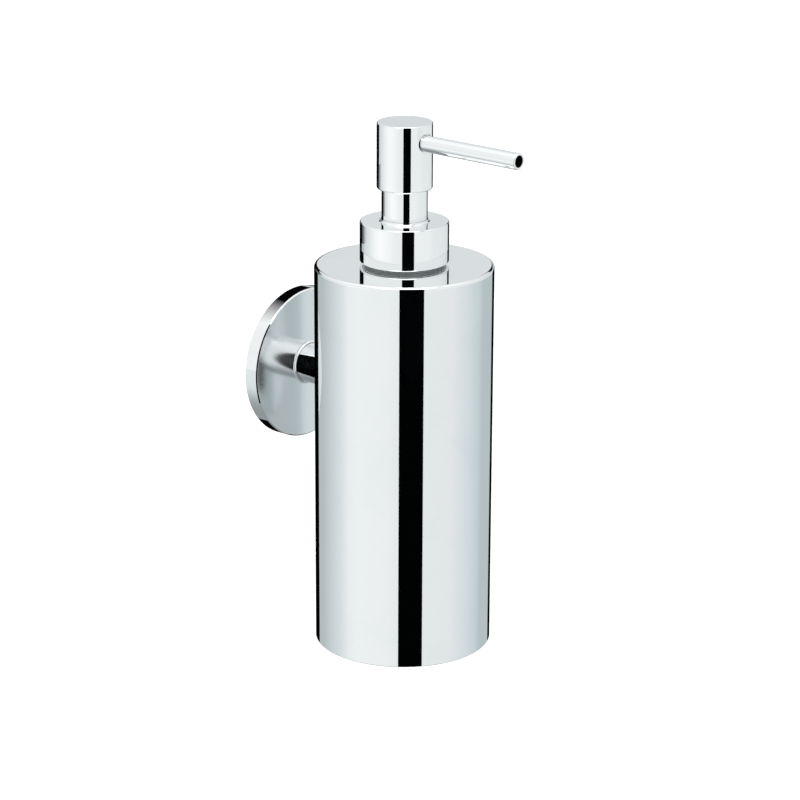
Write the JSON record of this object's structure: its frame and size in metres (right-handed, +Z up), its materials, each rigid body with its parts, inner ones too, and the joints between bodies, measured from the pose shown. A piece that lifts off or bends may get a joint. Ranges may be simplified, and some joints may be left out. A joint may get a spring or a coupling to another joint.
{
  "type": "wall mounted soap dispenser",
  "caption": "Cylindrical chromed soap dispenser on a short round arm and a round wall rosette, with a push-down lotion pump and a straight tube spout.",
  "frame": {"origin": "centre of the wall plate's back face, in the plane of the wall", "axes": "+Y into the wall, so the dispenser stands out along -Y; +Z up, along the cylinder and the pump; +X to the right for someone who faces the wall"},
  "size_m": [0.055, 0.0881, 0.1656],
  "materials": {
    "chrome": "polished mirror chrome plating",
    "zinc": "die cast, left as cast",
    "steel": "plain stainless steel",
    "natural_plastic": "natural polyethylene, milky",
    "white_plastic": "moulded polypropylene",
    "grey_rubber": "soft grey foam gasket",
    "black_rubber": "matt nitrile rubber",
    "glass_ball": "ground glass ball"
  },
  "bodies": {
    "holder": {"wall_plate": "zinc", "rosette": "chrome", "arm": "chrome", "arm_grub_screw": "steel", "saddle_washer": "steel", "arm_screw": "steel", "body_shell": "chrome", "base_cap": "chrome", "base_oring": "black_rubber", "inner_bottle": "natural_plastic", "collar_gasket": "grey_rubber"},
    "pump_unit": {"pump_cylinder": "white_plastic", "locking_bush": "white_plastic", "mouth_seal": "grey_rubber", "neck_sleeve": "chrome", "dip_tube": "natural_plastic", "return_spring": "steel"},
    "collar": {"collar_shell": "chrome", "collar_nut": "white_plastic"},
    "inlet_valve": {"valve_ball": "glass_ball"},
    "plunger": {"piston_stem": "white_plastic", "piston_seal": "natural_plastic"},
    "head": {"head_core": "white_plastic", "head_shell": "chrome", "spout_tube": "chrome"}
  },
  "joints": [
    {"name": "pump_lift", "type": "slide", "parent": "holder", "child": "pump_unit", "axis": [0, 0, 1], "range_m": [0, 0.00375]},
    {"name": "collar_turn", "type": "hinge", "parent": "pump_unit", "child": "collar", "pos_m": [0, -0.0445, 0.0468], "axis": [0, 0, 1], "range_deg": [0, 540]},
    {"name": "head_press", "type": "slide", "parent": "pump_unit", "child": "plunger", "axis": [0, 0, -1], "range_m": [0, 0.009], "stiffness_N_per_m": 900, "springref_m": -0.004, "deforming": ["return_spring"]},
    {"name": "head_swivel", "type": "hinge", "parent": "plunger", "child": "head", "pos_m": [0, -0.0445, 0.0781], "axis": [0, 0, 1], "continuous": true},
    {"name": "valve_lift", "type": "slide", "parent": "pump_unit", "child": "inlet_valve", "axis": [0, 0, 1], "range_m": [0, 0.0015]}
  ],
  "couplings": [
    {"joint": "pump_lift", "follows": "collar_turn", "m_per_rad": 0.00039789}
  ]
}
